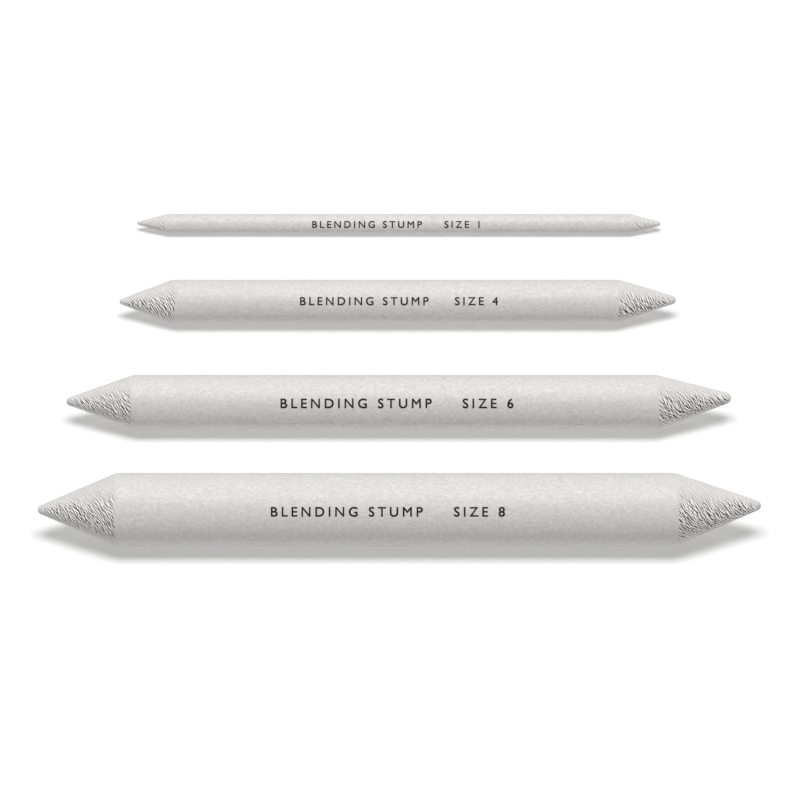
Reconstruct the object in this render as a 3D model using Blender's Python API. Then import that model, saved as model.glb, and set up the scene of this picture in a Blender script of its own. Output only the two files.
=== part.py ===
"""Graded set of four double-ended blending stumps, lying side by side.

Each stump is a web of soft paper wound into a solid roll, with one sheet of smooth
paper glued round its barrel. Both ends are sanded to a blunt point after winding, so
the cut edges of the paper lie on the cones. The stumps lie along X on the plane Z = 0.
"""

import math
from dataclasses import dataclass

import bmesh
import bpy

MM = 0.001
TAU = math.tau

# Soft paper web of the cores
WEB_THICKNESS = 0.55 * MM
WEB_GAP = 0.05 * MM
WEB_START_RADIUS = 0.06 * MM
WEB_FEATHER = 0.10 * MM  # thickness left where the web's last edge is feathered out
WEB_SAG = 0.025 * MM  # how far a chord may lie inside its arc
FEWEST_STEPS = 12

# Smooth paper sheet of the wraps
WRAP_THICKNESS = 0.15 * MM
WRAP_GAP = 0.05 * MM
WRAP_STEPS = 48  # facets in one turn, one of them lying flat on the ground
SEAM_STEP = 9.5  # where the sheet starts, in facets round from the ground towards +Y
LAP_STEPS = 4  # how far the sheet laps over its own start

CORE_COLOUR = (0.66, 0.64, 0.61, 1.0)
WRAP_COLOUR = (0.73, 0.72, 0.69, 1.0)


@dataclass(frozen=True)
class Tip:
    """One sanded end: the cone's half angle and the radius of its blunt point."""

    half_angle_deg: float
    radius: float


@dataclass(frozen=True)
class Stump:
    """One stump of the set. Its gap is the clear space to the next larger stump."""

    size: str
    diameter: float
    barrel_length: float
    barrel_centre_x: float
    gap: float
    left: Tip
    right: Tip

    @property
    def radius(self):
        return self.diameter / 2

    @property
    def core_radius(self):
        return self.radius - WRAP_THICKNESS - WRAP_GAP


STUMPS = (
    Stump("8", 16.0 * MM, 120.5 * MM, -0.9 * MM, 0.0, Tip(23.0, 1.11 * MM), Tip(21.1, 1.15 * MM)),
    Stump("6", 12.05 * MM, 112.8 * MM, -0.8 * MM, 20.75 * MM, Tip(19.4, 0.93 * MM), Tip(17.3, 1.30 * MM)),
    Stump("4", 9.58 * MM, 96.9 * MM, -1.25 * MM, 21.5 * MM, Tip(20.7, 0.66 * MM), Tip(17.5, 0.97 * MM)),
    Stump("1", 4.31 * MM, 101.0 * MM, -0.3 * MM, 19.9 * MM, Tip(15.5, 0.40 * MM), Tip(14.2, 0.57 * MM)),
)


def clear_scene():
    for obj in list(bpy.data.objects):
        bpy.data.objects.remove(obj, do_unlink=True)


def paper(name, colour, roughness):
    material = bpy.data.materials.new(name)
    material.use_nodes = True
    shader = material.node_tree.nodes["Principled BSDF"]
    shader.inputs["Base Color"].default_value = colour
    shader.inputs["Roughness"].default_value = roughness
    shader.inputs["Metallic"].default_value = 0.0
    return material


def sanded_end(stump, tip, radius):
    """How far from the barrel's middle the sanded surface lies at this radius: a cone with a round point."""
    angle = math.radians(tip.half_angle_deg)
    shoulder = stump.barrel_length / 2
    if radius >= tip.radius * math.cos(angle):
        return shoulder + (stump.radius - radius) / math.tan(angle)
    cone_length = stump.radius / math.tan(angle) - tip.radius * (1 / math.sin(angle) - 1)
    centre = shoulder + cone_length - tip.radius
    return centre + math.sqrt(tip.radius**2 - radius**2)


def core_sections(stump):
    """(angle, inner radius, outer radius) along the web, from the middle of the roll to its feathered edge."""
    pitch = WEB_THICKNESS + WEB_GAP
    sections = []
    angle = 0.0
    inner = WEB_START_RADIUS
    while inner < stump.core_radius - WEB_FEATHER:
        sections.append((angle, inner, min(inner + WEB_THICKNESS, stump.core_radius)))
        steps = math.pi * math.sqrt(inner / (2 * WEB_SAG))
        angle += TAU / max(FEWEST_STEPS, math.ceil(steps))
        inner = WEB_START_RADIUS + pitch * angle / TAU
    return sections


def wrap_sections(stump):
    """(angle, inner radius, outer radius) along the sheet: one turn, then a lap over its own start."""
    lift = WRAP_THICKNESS + WRAP_GAP
    sections = []
    for step in range(WRAP_STEPS + LAP_STEPS + 1):
        raised = lift if step >= WRAP_STEPS else 0.0
        outer = stump.radius + raised
        sections.append(((SEAM_STEP + step) * TAU / WRAP_STEPS, outer - WRAP_THICKNESS, outer))
    return sections


def wound_strip(name, stump, sections, material, collection, axis):
    """A strip of paper wound round the X axis, both ends cut along the sanded surface."""
    mesh = bpy.data.meshes.new(name)
    shape = bmesh.new()
    rings = []
    for angle, inner, outer in sections:
        corners = []
        for side, tip, radius in (
            (-1, stump.left, inner),
            (-1, stump.left, outer),
            (1, stump.right, outer),
            (1, stump.right, inner),
        ):
            x = side * sanded_end(stump, tip, radius)
            corners.append(shape.verts.new((x, radius * math.sin(angle), -radius * math.cos(angle))))
        rings.append(corners)
    shape.faces.new(rings[0])
    shape.faces.new(reversed(rings[-1]))
    for here, there in zip(rings, rings[1:]):
        for i in range(4):
            j = (i + 1) % 4
            shape.faces.new((here[i], there[i], there[j], here[j]))
    bmesh.ops.recalc_face_normals(shape, faces=shape.faces)
    shape.to_mesh(mesh)
    shape.free()
    mesh.shade_smooth()
    mesh.set_sharp_from_angle(angle=math.radians(35))
    mesh.materials.append(material)
    strip = bpy.data.objects.new(name, mesh)
    strip.parent = axis
    collection.objects.link(strip)
    return strip


def build_stump(stump, axis_y, core_paper, wrap_paper, collection):
    """One stump, its parts parented to an empty in the middle of its barrel, on its axis."""
    axis = bpy.data.objects.new(f"stump_{stump.size}_axis", None)
    axis.empty_display_size = stump.diameter
    flat_height = stump.radius * math.cos(math.pi / WRAP_STEPS)
    axis.location = (stump.barrel_centre_x, axis_y, flat_height)
    collection.objects.link(axis)
    wound_strip(f"stump_{stump.size}_core", stump, core_sections(stump), core_paper, collection, axis)
    wound_strip(f"stump_{stump.size}_wrap", stump, wrap_sections(stump), wrap_paper, collection, axis)


def axis_positions():
    """The Y of each stump's axis, the set centred on Y = 0."""
    positions = [0.0]
    for larger, smaller in zip(STUMPS, STUMPS[1:]):
        positions.append(positions[-1] + larger.radius + smaller.gap + smaller.radius)
    front = positions[0] - STUMPS[0].radius
    back = positions[-1] + STUMPS[-1].radius
    return [y - (front + back) / 2 for y in positions]


def main():
    clear_scene()
    collection = bpy.data.collections.new("blending_stumps")
    bpy.context.scene.collection.children.link(collection)
    core_paper = paper("soft_core_paper", CORE_COLOUR, 0.95)
    wrap_paper = paper("smooth_wrap_paper", WRAP_COLOUR, 0.85)
    for stump, axis_y in zip(STUMPS, axis_positions()):
        build_stump(stump, axis_y, core_paper, wrap_paper, collection)


main()
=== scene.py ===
"""Looks of a graded set of four blending stumps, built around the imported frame.

Each stump is a sanded paper core inside a smooth paper wrap with a small printed mark.
Lengths are metres. Angles round a stump run from straight down towards +Y.
"""

import math
from dataclasses import dataclass

import bmesh
import bpy
import numpy as np
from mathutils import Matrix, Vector, noise


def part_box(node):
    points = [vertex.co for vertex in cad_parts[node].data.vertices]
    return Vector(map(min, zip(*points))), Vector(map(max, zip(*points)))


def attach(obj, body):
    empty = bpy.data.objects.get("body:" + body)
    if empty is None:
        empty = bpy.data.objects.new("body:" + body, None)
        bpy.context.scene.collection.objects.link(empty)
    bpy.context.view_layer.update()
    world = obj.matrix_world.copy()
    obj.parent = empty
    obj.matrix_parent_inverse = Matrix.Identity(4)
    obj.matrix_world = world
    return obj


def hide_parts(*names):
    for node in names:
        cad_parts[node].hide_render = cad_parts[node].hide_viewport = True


MM = 0.001
TAU = math.tau

# Camera and stage
CAMERA_ELEVATION_DEG = 45.0
CAMERA_TARGET = Vector((0.0, -2.52 * MM, 0.0))
VIEW_WIDTH = 174 * MM
SENSOR_WIDTH_MM = 36.0
LENS_MM = 1200.0
FLOOR_SIZE = 12.0
FLOOR_ALBEDO = 0.56
FLOOR_GLOW = 0.34  # a lit table under a white sheet, which keeps the shadows pale
WORLD_LIGHT = 0.02
CAMERA_REACH = 50.0  # how far the camera sees

# Wrap paper
WRAP_THICKNESS = 0.15 * MM
GLUE_FILM = 0.02 * MM
WRAP_STEPS = 180  # round one turn
WRAP_GRID = 1.5 * MM  # along the barrel
WRAP_UNEVENNESS = 0.03 * MM
WRAP_WAVE = 7.0 * MM  # how far apart its swellings are
WRAP_SHARP_DEG = 14.0
SEAM_DEG = 71.25  # where the sheet starts
LAP_DEG = 30.0  # how far it laps over its own start
LAP_RISE_DEG = 3.0  # the turn in which it climbs over that start

# Sanded ends
CORE_COLUMN = 0.125 * MM  # between the mesh's columns, at the wrap
CORE_ROW = 0.185 * MM  # between its rows, on average
CORE_SHARP_DEG = 180.0  # soft paper has no sharp edge
SPIRAL_FLOOR = 2.5 * MM  # nearer the apex than this, the columns stop winding
RIDGE_LEAN_DEG = 50.0  # from the stump's axis towards its growing angle, at both ends alike
RIDGE_LEAN_SPREAD_DEG = 3.5
RIDGE_SPACING = 0.50 * MM
RIDGE_LENGTH = 0.25 * MM
RIDGE_WIDTH = 0.18 * MM
RIDGE_HEIGHT = 0.075 * MM
RIDGE_COVER = 0.6  # packets of ridges in each area of one length by one width
RIDGE_CLIPPING = 1.4  # the higher, the squarer the ridges
ROUGH_SIDE_DEG = 245.0  # where the sanding left the ridges highest, and where the painted shade and highlights on them are strongest
ROUGH_SPREAD_DEG = 36.0
SMOOTH_HEIGHT_SHARE = 0.45  # of the ridges' height, on the smoothest side
SMOOTH_PAINTED_SHADE_SHARE = 0.08  # of their painted shade and highlights, on the smoothest side
PATCH_SIZE = 2.5 * MM  # of the stretches with higher and lower ridges
EDGE_FADE = 0.4 * MM  # over which the relief rises from the wrap's edge
TIP_FADE = 3.0 * MM  # over which the ridges sink towards the blunt point
COARSE_RADIUS = 6.0 * MM  # barrels thinner than this have lower ridges
NAP_SIZE = 0.30 * MM
NAP_HEIGHT = 0.012 * MM
DENT_SIZE = 3.0 * MM
DENT_HEIGHT = 0.05 * MM
LAYER_PITCH = 0.60 * MM
LAYER_GROOVE = 0.010 * MM
LAYER_GROOVE_WIDTH = 0.12  # in layer pitches
RING_PITCH = 0.42 * MM
RING_REACH = 1.6 * MM  # how far the rings of a turned point go up the cone

RELIEF_FOR_PAINTED_SHADE = "relief"  # the mesh attribute that tells crests, above 0, from valleys; the core's colour paints highlights on crests and shade in valleys from it

# Printed mark
MARK_TEXT = "BLENDING STUMP"
MARK_SPACING = 1.45  # of the letters, 1 being the typeface's own
MARK_BOLDNESS = 0.035  # how far each stroke is thickened, in cap heights
INK_HEIGHT = 0.006 * MM
INK_ROOT = 0.06 * MM
INK_STRIP = 0.25 * MM


@dataclass(frozen=True)
class End:
    """One sanded end. Its cone is rarely quite true to the barrel: pairs are (y, z)."""

    half_angle_deg: float
    tip_shift: tuple = (0.0, 0.0)  # the blunt point off the axis
    runout: tuple = (0.0, 0.0)  # how much further the barrel reaches on that side
    ring_depth: float = 0.0  # rings turned into the blunt point, with painted shade in their grooves and painted highlights on their crests


@dataclass(frozen=True)
class Stump:
    size: str
    left: End
    right: End
    cap_height: float
    mark_centre_x: float
    mark_angle_deg: float


STUMPS = (
    Stump(
        "8",
        End(23.0),
        End(21.1, tip_shift=(0.65 * MM, 0.65 * MM), runout=(-0.25 * MM, 0.25 * MM), ring_depth=0.02 * MM),
        2.05 * MM,
        -2.6 * MM,
        228.0,
    ),
    Stump(
        "6",
        End(19.4, tip_shift=(0.15 * MM, 0.15 * MM), runout=(-0.15 * MM, 0.9 * MM)),
        End(17.3, tip_shift=(0.65 * MM, 0.65 * MM), ring_depth=0.05 * MM),
        2.05 * MM,
        -0.65 * MM,
        227.0,
    ),
    Stump(
        "4",
        End(20.7, runout=(0.85 * MM, -1.0 * MM)),
        End(17.5, tip_shift=(0.25 * MM, 0.25 * MM), runout=(0.35 * MM, 0.45 * MM)),
        1.75 * MM,
        -0.2 * MM,
        224.0,
    ),
    Stump("1", End(15.5, tip_shift=(0.1 * MM, 0.1 * MM)), End(14.2), 1.5 * MM, -0.9 * MM, 230.0),
)


# Materials


def material_tree(name):
    material = bpy.data.materials.new(name)
    material.use_nodes = True
    return material, material.node_tree, material.node_tree.nodes["Principled BSDF"]


def add_node(tree, kind, **settings):
    """A node with its settings: attributes by name, and input sockets as in_Name=value."""
    made = tree.nodes.new(kind)
    for key, value in settings.items():
        if key.startswith("in_"):
            made.inputs[key[3:].replace("_", " ")].default_value = value
        else:
            setattr(made, key, value)
    return made


def stretched_coordinates(tree, stretch):
    """Object coordinates with features drawn out along X by this factor."""
    place = add_node(tree, "ShaderNodeTexCoord")
    mapping = add_node(tree, "ShaderNodeMapping", in_Scale=(1 / stretch, 1.0, 1.0))
    tree.links.new(place.outputs["Object"], mapping.inputs["Vector"])
    return mapping.outputs["Vector"]


def noise_field(tree, feature, stretch=1.0, detail=3.0, roughness=0.55, distortion=0.0):
    """A noise of about this feature size, in metres, as a 0 to 1 value."""
    field = add_node(
        tree,
        "ShaderNodeTexNoise",
        in_Scale=1 / feature,
        in_Detail=detail,
        in_Roughness=roughness,
        in_Distortion=distortion,
    )
    tree.links.new(stretched_coordinates(tree, stretch), field.inputs["Vector"])
    return field.outputs["Fac"]


def remap(tree, value, from_low, from_high, to_low, to_high):
    ranged = add_node(
        tree,
        "ShaderNodeMapRange",
        in_From_Min=from_low,
        in_From_Max=from_high,
        in_To_Min=to_low,
        in_To_Max=to_high,
    )
    tree.links.new(value, ranged.inputs["Value"])
    return ranged.outputs["Result"]


def blend_colour(tree, factor, colour_a, colour_b):
    """Colour a where the factor is 0, colour b where it is 1. Each is a socket or a plain colour."""
    mix = add_node(tree, "ShaderNodeMix", data_type="RGBA")
    tree.links.new(factor, mix.inputs["Factor"])
    for colour, target in ((colour_a, mix.inputs[6]), (colour_b, mix.inputs[7])):
        if isinstance(colour, tuple):
            target.default_value = (*colour, 1.0)
        else:
            tree.links.new(colour, target)
    return mix.outputs[2]


def specks(tree, spacing, radius, share):
    """1 inside small round specks: one in some of the cells of a random lattice."""
    cells = add_node(tree, "ShaderNodeTexVoronoi", in_Scale=1 / spacing)
    tree.links.new(stretched_coordinates(tree, 1.6), cells.inputs["Vector"])
    near = remap(tree, cells.outputs["Distance"], radius / spacing, 0.6 * radius / spacing, 0.0, 1.0)
    picked = add_node(tree, "ShaderNodeSeparateColor")
    tree.links.new(cells.outputs["Color"], picked.inputs["Color"])
    chosen = add_node(tree, "ShaderNodeMath", operation="LESS_THAN")
    chosen.inputs[1].default_value = share
    tree.links.new(picked.outputs["Red"], chosen.inputs[0])
    both = add_node(tree, "ShaderNodeMath", operation="MULTIPLY")
    tree.links.new(near, both.inputs[0])
    tree.links.new(chosen.outputs[0], both.inputs[1])
    return both.outputs[0]


def bump(tree, shader, height, depth):
    relief = add_node(tree, "ShaderNodeBump", in_Strength=1.0, in_Distance=depth)
    tree.links.new(height, relief.inputs["Height"])
    tree.links.new(relief.outputs["Normal"], shader.inputs["Normal"])


def smooth_paper(name):
    """The wrap's calendered paper: pale fibres streaked along the stump, soft clouds, a few specks."""
    material, tree, shader = material_tree(name)
    shader.inputs["Specular IOR Level"].default_value = 0.5
    fibres = noise_field(tree, 0.50 * MM, stretch=1.7, detail=4.0, roughness=0.62, distortion=0.6)
    clouds = noise_field(tree, 3.5 * MM, stretch=2.0, detail=3.0)
    pale = (0.715, 0.702, 0.682)
    dark = (0.565, 0.552, 0.532)
    colour = blend_colour(tree, remap(tree, fibres, 0.35, 0.65, 1.0, 0.0), pale, dark)
    colour = blend_colour(tree, remap(tree, clouds, 0.3, 0.7, 0.0, 0.35), colour, (0.600, 0.592, 0.580))
    colour = blend_colour(tree, specks(tree, 1.1 * MM, 0.11 * MM, 0.16), colour, (0.42, 0.40, 0.37))
    tree.links.new(colour, shader.inputs["Base Color"])
    tree.links.new(remap(tree, fibres, 0.3, 0.7, 0.66, 0.56), shader.inputs["Roughness"])
    bump(tree, shader, fibres, 0.012 * MM)
    return material


def sanded_paper(name):
    """The core's soft paper, rough and fibrous where it is sanded, with painted highlights on ridge crests
    and painted shade in their valleys.
    """
    material, tree, shader = material_tree(name)
    shader.inputs["Specular IOR Level"].default_value = 0.2
    nap = noise_field(tree, 0.22 * MM, detail=4.0, roughness=0.7)
    clouds = noise_field(tree, 1.8 * MM, detail=3.0)
    relief = add_node(tree, "ShaderNodeAttribute", attribute_name=RELIEF_FOR_PAINTED_SHADE).outputs["Fac"]
    colour = blend_colour(
        tree, remap(tree, nap, 0.35, 0.65, 0.0, 1.0), (0.550, 0.531, 0.511), (0.800, 0.781, 0.758)
    )
    colour = blend_colour(tree, remap(tree, clouds, 0.3, 0.7, 0.0, 0.4), colour, (0.610, 0.590, 0.568))
    # Painted shade: the valleys between ridges darkened almost to black.
    colour = blend_colour(tree, remap(tree, relief, -0.02, -0.50, 0.0, 0.94), colour, (0.060, 0.055, 0.051))
    # Painted highlight: the ridge crests lightened almost to white.
    colour = blend_colour(tree, remap(tree, relief, 0.05, 0.45, 0.0, 1.0), colour, (1.0, 0.99, 0.98))
    tree.links.new(colour, shader.inputs["Base Color"])
    tree.links.new(remap(tree, nap, 0.3, 0.7, 0.98, 0.88), shader.inputs["Roughness"])
    bump(tree, shader, nap, 0.03 * MM)
    return material


def cut_paper(name):
    """The wrap's cut edge: paler than its face, slightly fluffy."""
    material, tree, shader = material_tree(name)
    fluff = noise_field(tree, 0.2 * MM, detail=3.0)
    colour = blend_colour(
        tree, remap(tree, fluff, 0.35, 0.65, 0.0, 1.0), (0.62, 0.607, 0.585), (0.70, 0.688, 0.665)
    )
    tree.links.new(colour, shader.inputs["Base Color"])
    shader.inputs["Roughness"].default_value = 0.95
    bump(tree, shader, fluff, 0.015 * MM)
    return material


def black_ink(name):
    """Matt black ink, a little thin where the paper's fibres stand up."""
    material, tree, shader = material_tree(name)
    thin = noise_field(tree, 0.12 * MM, stretch=2.0, detail=3.0)
    colour = blend_colour(
        tree, remap(tree, thin, 0.55, 0.8, 0.0, 1.0), (0.010, 0.009, 0.008), (0.09, 0.085, 0.08)
    )
    tree.links.new(colour, shader.inputs["Base Color"])
    tree.links.new(remap(tree, thin, 0.3, 0.7, 0.55, 0.75), shader.inputs["Roughness"])
    shader.inputs["Specular IOR Level"].default_value = 0.3
    return material


# Shapes


class Barrel:
    """Where one stump lies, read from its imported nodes."""

    def __init__(self, stump):
        wrap_low, wrap_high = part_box(f"stump_{stump.size}_wrap")
        core_low, core_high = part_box(f"stump_{stump.size}_core")
        self.radius = wrap_high.z / 2
        self.axis_y = wrap_low.y + self.radius
        self.axis_z = self.radius
        self.centre_x = (wrap_low.x + wrap_high.x) / 2
        self.wrap_reach = {-1: self.centre_x - wrap_low.x, 1: wrap_high.x - self.centre_x}
        self.tip_reach = {-1: self.centre_x - core_low.x, 1: core_high.x - self.centre_x}
        self.ends = {-1: stump.left, 1: stump.right}

    def reach_at(self, side, theta, depth):
        """How far from the barrel's middle the sanded surface lies, this deep under the wrap's face."""
        end = self.ends[side]
        slope = math.tan(math.radians(end.half_angle_deg))
        shoulder = self.wrap_reach[side] - WRAP_THICKNESS / slope
        runout = end.runout[0] * np.sin(theta) - end.runout[1] * np.cos(theta)
        return shoulder + runout + depth / slope

    def point(self, side, reach, radius, theta, shift_y=0.0, shift_z=0.0):
        """World coordinates, as an array with x, y, z last."""
        x = self.centre_x + side * reach
        y = self.axis_y + shift_y + radius * np.sin(theta)
        z = self.axis_z + shift_z - radius * np.cos(theta)
        return np.stack(np.broadcast_arrays(x, y, z), axis=-1)


def noise_at(points, size, octaves, seed):
    """Smooth noise of this feature size at each point, about -1 to 1."""
    offset = Vector((seed * 7.3, seed * 3.1, seed * 5.7))
    flat = points.reshape(-1, 3) / size
    values = [noise.fractal(Vector(p) + offset, 0.8, 2.0, octaves) for p in flat]
    return np.array(values).reshape(points.shape[:-1])


def ridge_field(distance, theta, sine, side, random):
    """Sanding ridges on a cone unrolled flat, about -1 to 1, as a sum of short packets of waves.

    distance is how far each row is from the cone's apex, and sine that of its half angle.
    """
    field = np.zeros(theta.shape)
    area = math.pi * sine * distance.max() ** 2
    packets = int(RIDGE_COVER * area / (RIDGE_LENGTH * RIDGE_WIDTH))
    reach = 3 * RIDGE_LENGTH
    for _ in range(packets):
        centre = distance.max() * math.sqrt(random.uniform(0.0, 1.0))
        centre_theta = random.uniform(0.0, TAU)
        lean = math.radians(random.normal(RIDGE_LEAN_DEG, RIDGE_LEAN_SPREAD_DEG))
        wave = TAU / (RIDGE_SPACING * random.uniform(0.8, 1.25))
        phase = random.uniform(0.0, TAU)
        rows = abs(distance - centre) < reach
        radial = distance[rows][:, None]
        turned = ((theta[rows] - centre_theta + math.pi) % TAU - math.pi) * sine
        outward = centre - radial * np.cos(turned)
        around = radial * np.sin(turned)
        along = side * outward * math.cos(lean) + around * math.sin(lean)
        across = -side * outward * math.sin(lean) + around * math.cos(lean)
        packet = np.exp(-0.5 * ((along / RIDGE_LENGTH) ** 2 + (across / RIDGE_WIDTH) ** 2))
        field[rows] += packet * np.cos(wave * across + phase)
    return np.tanh(RIDGE_CLIPPING * field / field.std())


def sanded_end(barrel, side, theta, seed):
    """A grid of points over one sanded end, from under the wrap's cut edge to the blunt tip.

    Its columns wind round the cone as the ridges do. The relief that comes with it is above 0
    on crests and below 0 in valleys; the core's colour paints highlights on crests and shade in valleys from
    it.
    """
    end = barrel.ends[side]
    angle = math.radians(end.half_angle_deg)
    depth = WRAP_THICKNESS + GLUE_FILM
    start_radius = barrel.radius - depth
    cone_length = barrel.tip_reach[side] - barrel.reach_at(side, 0.0, 0.0) - end.runout[1]
    tip_radius = (barrel.radius / math.tan(angle) - cone_length) / (1 / math.sin(angle) - 1)
    centre_reach = barrel.tip_reach[side] - tip_radius

    slant = start_radius / math.sin(angle)
    rows = math.ceil(slant / CORE_ROW)
    share = np.linspace(0.0, 1.0, rows + 1)[:, None]
    share = share * (1.3 - 0.3 * share)  # closer together at the tip
    to_apex = np.maximum(slant * (1 - share), SPIRAL_FLOOR)
    winding = math.tan(math.radians(RIDGE_LEAN_DEG)) / math.sin(angle)
    theta = theta + side * winding * np.log(slant / to_apex)
    start_reach = barrel.reach_at(side, theta, depth)

    # A straight run from the wrap to where it touches the round tip, then along the tip
    back, up = start_reach - centre_reach, start_radius
    gap = np.hypot(back, up)
    touch = np.arctan2(up, back) - np.arccos(tip_radius / gap)
    straight = np.sqrt(gap**2 - tip_radius**2)
    total = straight + tip_radius * touch
    travelled = share * total
    to_tip = total - travelled
    facing = np.where(travelled < straight, touch, to_tip / tip_radius)
    to_go = np.clip(straight - travelled, 0.0, None)
    reach = centre_reach + tip_radius * np.cos(facing) - to_go * np.sin(touch)
    radius = tip_radius * np.sin(facing) + to_go * np.cos(touch)

    tipward = np.clip(travelled / straight, 0.0, 1.0)
    shift_y, shift_z = end.tip_shift[0] * tipward, end.tip_shift[1] * tipward
    surface = barrel.point(side, reach, radius, theta, shift_y, shift_z)
    outward = barrel.point(side, np.cos(facing), np.sin(facing), theta) - barrel.point(side, 0.0, 0.0, theta)

    random = np.random.default_rng(seed)
    distance = np.maximum(radius.mean(axis=1) / math.sin(angle), 0.2 * MM)
    ridges = ridge_field(distance, theta, math.sin(angle), side, random)
    patches = np.clip(0.95 + 0.5 * noise_at(surface, PATCH_SIZE, 2, seed), 0.3, 1.3)
    edge_fade = np.clip(travelled / EDGE_FADE, 0.0, 1.0)
    tip_fade = np.clip(to_tip / TIP_FADE, 0.25, 1.0)
    from_rough = np.degrees((theta - math.radians(ROUGH_SIDE_DEG) + math.pi) % TAU - math.pi)
    roughness = np.exp(-((from_rough / ROUGH_SPREAD_DEG) ** 2))
    coarseness = min(barrel.radius / COARSE_RADIUS, 1.0)
    ridges = ridges * patches * tip_fade * edge_fade * coarseness
    height = RIDGE_HEIGHT * ridges * (SMOOTH_HEIGHT_SHARE + (1 - SMOOTH_HEIGHT_SHARE) * roughness)
    height = height + NAP_HEIGHT * noise_at(surface, NAP_SIZE, 2, seed + 20)
    height = height + DENT_HEIGHT * noise_at(surface, DENT_SIZE, 2, seed + 40)
    layer = (radius / LAYER_PITCH + side * theta / TAU) % 1.0
    height = height - LAYER_GROOVE * np.exp(-(((layer - 0.5) / LAYER_GROOVE_WIDTH) ** 2))
    near_tip = np.exp(-((to_tip / RING_REACH) ** 2))
    rings = end.ring_depth * near_tip * np.cos(TAU * to_tip / RING_PITCH)
    height = height + rings
    # Painted shade and highlight: how far the core's colour darkens valleys and lightens crests, strongest
    # on the rough side, with the turned rings near the tip added.
    relief = ridges * (SMOOTH_PAINTED_SHADE_SHARE + (1 - SMOOTH_PAINTED_SHADE_SHARE) * roughness)
    relief = relief + 0.5 * rings / RIDGE_HEIGHT
    return surface + outward * (height * edge_fade)[..., None], relief


def mesh_object(name, points, faces, materials, sharp_deg, face_materials=None):
    mesh = bpy.data.meshes.new(name)
    mesh.from_pydata(points, [], faces)
    shape = bmesh.new()
    shape.from_mesh(mesh)
    bmesh.ops.recalc_face_normals(shape, faces=shape.faces)
    shape.to_mesh(mesh)
    shape.free()
    for material in materials:
        mesh.materials.append(material)
    if face_materials is not None:
        mesh.polygons.foreach_set("material_index", face_materials)
    mesh.shade_smooth()
    mesh.set_sharp_from_angle(angle=math.radians(sharp_deg))
    made = bpy.data.objects.new(name, mesh)
    bpy.context.scene.collection.objects.link(made)
    return made


def core_piece(stump, barrel, material, seed):
    """The wound core, closed: two sanded ends joined by the barrel that the wrap hides."""
    columns = math.ceil(TAU * barrel.radius / CORE_COLUMN)
    theta = np.linspace(0.0, TAU, columns, endpoint=False)
    left, left_relief = sanded_end(barrel, -1, theta, seed)
    right, right_relief = sanded_end(barrel, 1, theta, seed + 1)
    grid = np.concatenate([left[-2::-1], right[:-1]])
    tips = [left[-1].mean(axis=0), right[-1].mean(axis=0)]
    rows = len(grid)
    index = np.arange(rows * columns).reshape(rows, columns)
    turned = np.roll(index, -1, axis=1)
    quads = np.stack([index[:-1], index[1:], turned[1:], turned[:-1]], axis=-1).reshape(-1, 4)
    left_tip, right_tip = rows * columns, rows * columns + 1
    fans = [(left_tip, a, b) for a, b in zip(index[0], turned[0])]
    fans += [(right_tip, b, a) for a, b in zip(index[-1], turned[-1])]
    points = np.concatenate([grid.reshape(-1, 3), tips])
    name = f"stump_{stump.size}_sanded_core"
    made = mesh_object(name, points, quads.tolist() + fans, [material], CORE_SHARP_DEG)
    relief = np.concatenate([left_relief[-2::-1], right_relief[:-1]]).reshape(-1)
    # Kept on the mesh for the painted shade in valleys and painted highlights on crests.
    stored = made.data.attributes.new(RELIEF_FOR_PAINTED_SHADE, "FLOAT", "POINT")
    stored.data.foreach_set("value", np.append(relief, [0.0, 0.0]).astype(np.float32))
    return made


def wrap_piece(stump, barrel, face_paper, edge_paper, seed):
    """The wrap: one sheet round the barrel, lapped over its own start, its ends cut with the cones."""
    step = 360.0 / WRAP_STEPS
    turns_deg = np.arange(0.0, 360.0 + LAP_DEG + step / 2, step)
    theta = np.radians(SEAM_DEG + turns_deg)
    climb = np.clip((turns_deg - 360.0 + LAP_RISE_DEG) / LAP_RISE_DEG, 0.0, 1.0)
    lift = (WRAP_THICKNESS + GLUE_FILM) * climb * climb * (3 - 2 * climb)
    spans = math.ceil(2 * barrel.wrap_reach[1] / WRAP_GRID)
    share = np.linspace(-1.0, 1.0, spans + 1)[:, None]
    left_reach = barrel.reach_at(-1, theta, -lift)
    right_reach = barrel.reach_at(1, theta, -lift)
    reach = np.where(share < 0, share * left_reach, share * right_reach)
    face = barrel.point(1, reach, barrel.radius, theta)
    sunken = 0.5 + 0.5 * noise_at(face, WRAP_WAVE, 2, seed)
    outer = barrel.point(1, reach, barrel.radius + lift - WRAP_UNEVENNESS * sunken, theta)
    inner_radius = barrel.radius + lift - WRAP_THICKNESS
    inner_left = barrel.reach_at(-1, theta, WRAP_THICKNESS - lift)
    inner_right = barrel.reach_at(1, theta, WRAP_THICKNESS - lift)
    inner = [
        barrel.point(1, inner_right, inner_radius, theta),
        barrel.point(-1, inner_left, inner_radius, theta),
    ]
    grid = np.concatenate([outer, inner])
    rows, columns = grid.shape[:2]
    index = np.arange(rows * columns).reshape(rows, columns)
    after = np.roll(index, -1, axis=0)
    quads = np.stack([index[:, :-1], after[:, :-1], after[:, 1:], index[:, 1:]], axis=-1)
    is_cut = np.zeros(quads.shape[:2], dtype=int)
    is_cut[spans] = 1
    is_cut[-1] = 1
    faces = quads.reshape(-1, 4).tolist() + [index[:, 0].tolist(), index[::-1, -1].tolist()]
    kinds = is_cut.reshape(-1).tolist() + [1, 1]
    points = grid.reshape(-1, 3)
    name = f"stump_{stump.size}_paper_wrap"
    return mesh_object(name, points, faces, [face_paper, edge_paper], WRAP_SHARP_DEG, kinds)


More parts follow.
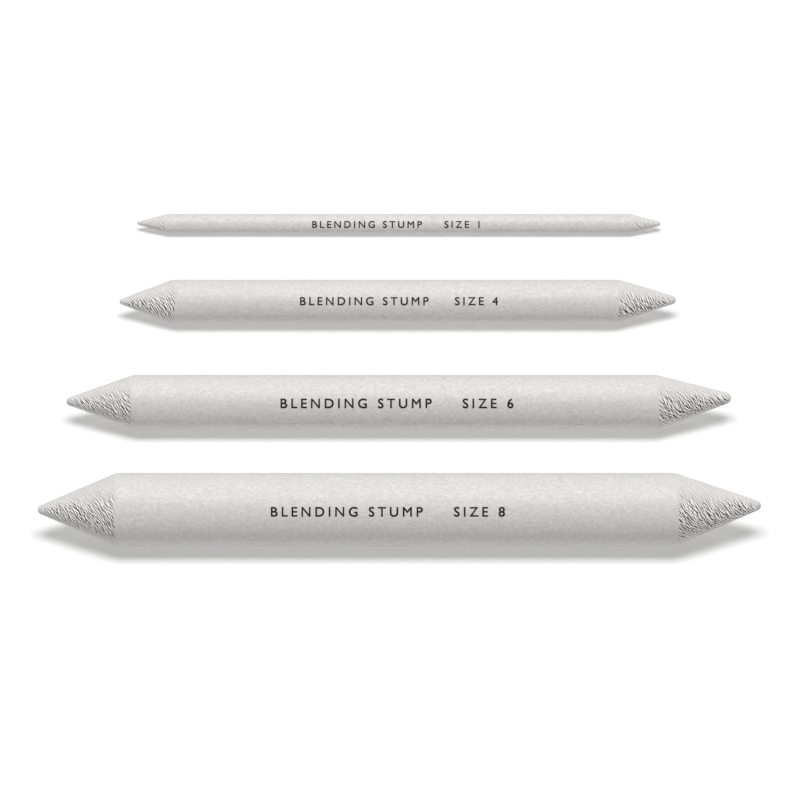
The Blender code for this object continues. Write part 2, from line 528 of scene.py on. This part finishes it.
def text_shape(words, cap_height, spacing):
    """Flat lettering as a mesh in its own XY plane, with capitals this high."""
    curve = bpy.data.curves.new("lettering", "FONT")
    curve.body = words
    curve.size = 1.0
    curve.space_character = spacing
    curve.resolution_u = 4
    holder = bpy.data.objects.new("lettering", curve)
    bpy.context.scene.collection.objects.link(holder)
    bpy.context.view_layer.update()
    graph = bpy.context.evaluated_depsgraph_get()
    mesh = bpy.data.meshes.new_from_object(holder.evaluated_get(graph))
    bpy.data.objects.remove(holder)
    shape = bmesh.new()
    shape.from_mesh(mesh)
    bpy.data.meshes.remove(mesh)
    bmesh.ops.remove_doubles(shape, verts=shape.verts, dist=1e-5)
    tall = max(v.co.y for v in shape.verts)
    bmesh.ops.scale(shape, vec=(cap_height / tall,) * 3, verts=shape.verts)
    return shape


def thicken(shape, amount):
    """Move the outlines of flat lettering outwards."""
    moves = {}
    for edge in shape.edges:
        if not edge.is_boundary:
            continue
        start, end = edge.verts
        run = end.co - start.co
        outward = Vector((run.y, -run.x, 0.0)).normalized()
        if outward.dot(start.co - edge.link_faces[0].calc_center_median()) < 0:
            outward.negate()
        for vert in edge.verts:
            moves[vert] = moves.get(vert, Vector()) + outward
    for vert, outward in moves.items():
        vert.co += amount * outward.normalized()


def mark_piece(stump, barrel, ink):
    """The printed mark, a thin film of ink wrapped round the face of the barrel."""
    shape = text_shape(f"{MARK_TEXT}    SIZE {stump.size}", stump.cap_height, MARK_SPACING)
    thicken(shape, MARK_BOLDNESS * stump.cap_height)
    low = min(v.co.x for v in shape.verts)
    high = max(v.co.x for v in shape.verts)
    middle = Vector(((low + high) / 2, stump.cap_height / 2, 0.0))
    bmesh.ops.translate(shape, vec=-middle, verts=shape.verts)
    cuts = math.ceil(stump.cap_height / INK_STRIP)
    for i in range(1, cuts):
        level = stump.cap_height * (i / cuts - 0.5)
        everything = shape.verts[:] + shape.edges[:] + shape.faces[:]
        bmesh.ops.bisect_plane(shape, geom=everything, plane_co=(0, level, 0), plane_no=(0, 1, 0))
    bmesh.ops.triangulate(shape, faces=shape.faces)
    upper = bmesh.ops.extrude_face_region(shape, geom=shape.faces[:])
    for v in shape.verts:
        v.co.z = -INK_ROOT
    for v in upper["geom"]:
        if isinstance(v, bmesh.types.BMVert):
            v.co.z = INK_HEIGHT
    for v in shape.verts:
        theta = math.radians(stump.mark_angle_deg) - v.co.y / barrel.radius
        radius = barrel.radius + v.co.z
        y = barrel.axis_y + radius * math.sin(theta)
        z = barrel.axis_z - radius * math.cos(theta)
        v.co = Vector((stump.mark_centre_x + v.co.x, y, z))
    bmesh.ops.recalc_face_normals(shape, faces=shape.faces)
    mesh = bpy.data.meshes.new(f"stump_{stump.size}_print")
    shape.to_mesh(mesh)
    shape.free()
    mesh.materials.append(ink)
    made = bpy.data.objects.new(f"stump_{stump.size}_print", mesh)
    bpy.context.scene.collection.objects.link(made)
    return made


# Stage


def add_area_light(name, place, size, power):
    """A rectangular soft light that faces the origin and that the camera does not see."""
    light = bpy.data.lights.new(name, "AREA")
    light.shape = "RECTANGLE"
    light.size, light.size_y = size
    light.energy = power
    lamp = bpy.data.objects.new(name, light)
    lamp.location = place
    lamp.rotation_mode = "QUATERNION"
    lamp.rotation_quaternion = (-Vector(place)).to_track_quat("-Z", "Y")
    lamp.visible_camera = False
    bpy.context.scene.collection.objects.link(lamp)


def add_camera():
    """A long lens, so that the view is almost without perspective."""
    data = bpy.data.cameras.new("camera")
    data.sensor_width = SENSOR_WIDTH_MM
    data.lens = LENS_MM
    data.clip_end = CAMERA_REACH
    camera = bpy.data.objects.new("camera", data)
    elevation = math.radians(CAMERA_ELEVATION_DEG)
    back = Vector((0.0, -math.cos(elevation), math.sin(elevation)))
    camera.location = CAMERA_TARGET + back * (VIEW_WIDTH * LENS_MM / SENSOR_WIDTH_MM)
    camera.rotation_mode = "QUATERNION"
    camera.rotation_quaternion = (-back).to_track_quat("-Z", "Y")
    bpy.context.scene.collection.objects.link(camera)
    bpy.context.scene.camera = camera


def add_floor():
    mesh = bpy.data.meshes.new("floor")
    half = FLOOR_SIZE / 2
    corners = [(-half, -half, 0), (half, -half, 0), (half, half, 0), (-half, half, 0)]
    mesh.from_pydata(corners, [], [(0, 1, 2, 3)])
    material, _, shader = material_tree("white_floor")
    shader.inputs["Base Color"].default_value = (*[FLOOR_ALBEDO] * 3, 1.0)
    shader.inputs["Roughness"].default_value = 1.0
    shader.inputs["Specular IOR Level"].default_value = 0.0
    shader.inputs["Emission Color"].default_value = (1.0, 1.0, 1.0, 1.0)
    shader.inputs["Emission Strength"].default_value = FLOOR_GLOW
    mesh.materials.append(material)
    floor = bpy.data.objects.new("floor", mesh)
    bpy.context.scene.collection.objects.link(floor)


def add_light():
    """A large key light overhead, a weaker light behind and a faint white world."""
    world = bpy.data.worlds.new("studio")
    world.use_nodes = True
    background = world.node_tree.nodes["Background"]
    background.inputs["Color"].default_value = (1.0, 1.0, 1.0, 1.0)
    background.inputs["Strength"].default_value = WORLD_LIGHT
    bpy.context.scene.world = world
    add_area_light("key", place=(0.0, -0.14, 2.4), size=(1.5, 0.9), power=68.0)
    add_area_light("back", place=(0.0, 1.7, 1.7), size=(1.6, 0.8), power=8.0)


# The object

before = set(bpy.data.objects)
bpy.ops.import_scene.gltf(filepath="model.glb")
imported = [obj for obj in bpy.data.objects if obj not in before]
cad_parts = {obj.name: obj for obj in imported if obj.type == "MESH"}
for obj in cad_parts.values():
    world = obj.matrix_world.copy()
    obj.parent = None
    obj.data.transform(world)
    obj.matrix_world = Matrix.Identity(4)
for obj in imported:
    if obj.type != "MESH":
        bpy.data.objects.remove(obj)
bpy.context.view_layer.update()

bpy.context.scene.view_settings.view_transform = "Standard"
add_camera()
add_floor()
add_light()

wrap_face = smooth_paper("wrap_paper")
wrap_edge = cut_paper("wrap_cut_edge")
core_face = sanded_paper("sanded_core_paper")
ink = black_ink("black_ink")

for number, stump in enumerate(STUMPS):
    barrel = Barrel(stump)
    body = f"stump_{stump.size}"
    core = core_piece(stump, barrel, core_face, 10 * number + 1)
    wrap = wrap_piece(stump, barrel, wrap_face, wrap_edge, 10 * number + 5)
    mark = mark_piece(stump, barrel, ink)
    for piece, slot in ((core, "core_paper"), (wrap, "wrap_paper"), (mark, "black_ink")):
        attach(piece, body)
    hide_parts(f"stump_{stump.size}_core")
    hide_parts(f"stump_{stump.size}_wrap")
